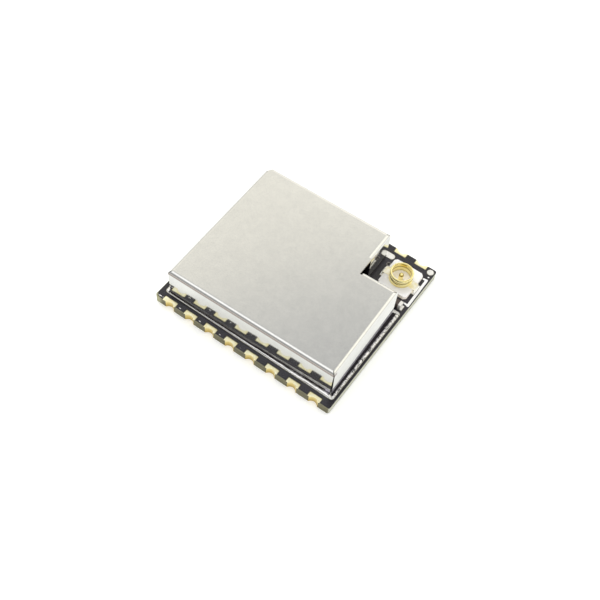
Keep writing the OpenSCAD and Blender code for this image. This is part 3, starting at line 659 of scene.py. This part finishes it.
put_on(material("socket solder", joint_solder), "coax_leg_solder", "coax_tail_solder")


# ---- Chips, crystal and chip parts ----
# Moulded black chips with tinned terminals, a ceramic crystal with a plated lid, and small ceramic
# capacitors, resistors and inductors with tinned ends. All but one sit under the can.
def moulding(place):
    grain = place.noise(0.05, 3.0)
    base = place.noise(0.8).step(0.3, 0.7).mix(colour("#1D1D1F"), colour("#29292C"))
    return principled(place, Base_Color=base, Roughness=0.55 + grain * 0.15, Normal=grain.bump(0.003))


def ceramic(dark, light):
    """Fired ceramic between two colours, with a fine grain."""
    def dress(place):
        grain = place.noise(0.08, 3.0)
        return principled(place, Base_Color=grain.step(0.3, 0.7).mix(colour(dark), colour(light)),
                          Roughness=0.4 + grain * 0.2, Normal=grain.bump(0.002))
    return dress


put_on(material("black moulding", moulding), "radio_chip", "flash_chip")
put_on(tin_finish, "radio_terminals", "flash_leads", "capacitor_ends", "resistor_ends",
       "inductor_ends", "aerial_capacitor_ends")
put_on(material("crystal ceramic", ceramic("#CDBF96", "#E0D5B4")), "crystal_base")
put_on(can_finish, "crystal_lid")
put_on(material("capacitor ceramic", ceramic("#A98A5C", "#C2A67A")), "capacitors")
put_on(material("aerial capacitor ceramic", ceramic("#3A3230", "#5A4C44")), "aerial_capacitor")
put_on(material("resistor glaze", ceramic("#222225", "#333337")), "resistors")
put_on(material("inductor ceramic", ceramic("#7FA2B8", "#9DBCCD")), "inductors")


# ---- Printed bracket ----
# White ink on the mask, along the board's end beside the socket, with a short arm at each end and a
# dot behind. It shows the socket's outline to whoever places it.
def ink(place):
    grain = place.noise(0.06, 3.0)
    base = grain.step(0.3, 0.7).mix(colour("#F4F4F2"), colour("#FFFFFD"))
    return principled(place, Base_Color=base, Roughness=0.5, Normal=grain.bump(0.003))


ink_t, ink_lift = 0.011, 0.003


def line(a, b, width, lift=0.0):
    """A printed line from a to b: a flat outline with half circles for ends, 0.012 mm thick, and
    lifted by lift where it overlaps another."""
    a, b = np.array(a, float), np.array(b, float)
    turn = math.degrees(math.atan2(b[1] - a[1], b[0] - a[0]))
    end = arc(width / 2, turn - 90, turn + 90, 9)
    return plate(np.concatenate([b + end, a - end]), board_t - 0.001, board_t + ink_t + lift)


bracket_front, bracket_rear = (8.27, 3.58), (8.21, 6.68)
build("printed_bracket", [line(bracket_front, bracket_rear, 0.22),
                          line(bracket_rear, (7.95, 6.66), 0.18, ink_lift),
                          line(bracket_front, (7.95, 3.63), 0.16, ink_lift),
                          line((8.17, 7.04), (8.18, 7.05), 0.12)],
      material("white ink", ink), "solder_mask")


# ---- Studio ----
# A pale floor, a wide soft lamp behind and to the left, and an even sky. The bright metal shows a
# sky of its own: bright behind and greyer overhead, bright on the right, and in front bright high up
# and dark lower down.
def floor(place):
    """Glows where it is seen, and less in the metal, least of all far to the left and behind."""
    path = place.node("ShaderNodeLightPath", {})
    mirrored = Signal(path.socket.node.outputs["Is Glossy Ray"])
    x, y = place.axis("X"), place.axis("Y")
    left = x.step(-8.0, -9.0) * y.step(-10.0, -8.0)
    rear = y.step(8.0, 9.0) * x.step(10.0, 8.0)
    far = left.math("MAXIMUM", rear)
    seen = path.math("MAXIMUM", mirrored * (0.6 - far * 0.5))
    plain = place.node("ShaderNodeBsdfDiffuse", {}, colour("#F4F5F2"))
    warm = (y.step(-9.0, -12.0) * mirrored).mix(colour("#FFFFFF"), colour("#FFF0D4"))
    glow = place.node("ShaderNodeEmission", {}, warm, seen * 0.3)
    return place.node("ShaderNodeAddShader", {}, plain, glow)


floor_half = 0.6
floor_corners = [(-floor_half, -floor_half, 0), (floor_half, -floor_half, 0),
                 (floor_half, floor_half, 0), (-floor_half, floor_half, 0)]
ground = bpy.data.meshes.new("floor")
ground.from_pydata(floor_corners, [], [(0, 1, 2, 3)])
ground.materials.append(material("pale floor", floor))
floor_object = bpy.data.objects.new("floor", ground)
bpy.context.scene.collection.objects.link(floor_object)

world = bpy.data.worlds.new("studio")
world.use_nodes = True
world.node_tree.nodes.clear()
facing = Signal(world.node_tree.nodes.new("ShaderNodeTexCoord").outputs["Generated"])
right, ahead, up = (facing.node("ShaderNodeSeparateXYZ", {}, facing, out=k) for k in range(3))
behind = (1.07 - 0.5 * (up + 0.33 * right).step(0.66, 0.79)) * (1 - 0.2 * up.step(0.6, 0.3))
side = (right + 3.0 * (ahead - 0.45)).step(0.15, 0.5)
front = ahead.step(0.25, -0.12)
above = 1.3 - up.step(0.78, 0.6) * ahead.step(0.0, -0.2) * 0.85
sky = behind * (1 - side) + side * (0.95 + 0.4 * up.step(0.1, 0.5))
sky = sky * (1 - front) + front * above
path = facing.node("ShaderNodeLightPath", {})
glossy = Signal(path.socket.node.outputs["Is Glossy Ray"])
level = (glossy * sky).math("MAXIMUM", (1 - glossy) * (0.9 + 0.1 * path))
tint = (glossy * sky.step(0.6, 1.0) * (1 - front)).mix(colour("#FFFFFF"), colour("#FFFCF2"))
lit = facing.node("ShaderNodeBackground", {}, tint, level)
facing.node("ShaderNodeOutputWorld", {}, lit)
bpy.context.scene.world = world

lamp = bpy.data.lights.new("key", "AREA")
lamp.shape = "DISK"
lamp.size = 0.16
lamp.energy = 0.2
lamp_at = Vector((-0.12, 0.1, 0.2))
key = bpy.data.objects.new("key", lamp)
key.location = lamp_at
key.rotation_euler = (-lamp_at).to_track_quat("-Z", "Y").to_euler()
key.visible_glossy = False
bpy.context.scene.collection.objects.link(key)

lens = bpy.data.cameras.new("camera")
lens.lens = 54.67
lens.sensor_width = 36
lens.clip_start = 0.001
camera = bpy.data.objects.new("camera", lens)
camera.location = (0.0212933, -0.0366154, 0.0619805)
camera.rotation_euler = (math.radians(33.4514), math.radians(-3.68349), math.radians(35.41379))
bpy.context.scene.collection.objects.link(camera)
bpy.context.scene.camera = camera
bpy.context.scene.view_settings.view_transform = "Standard"
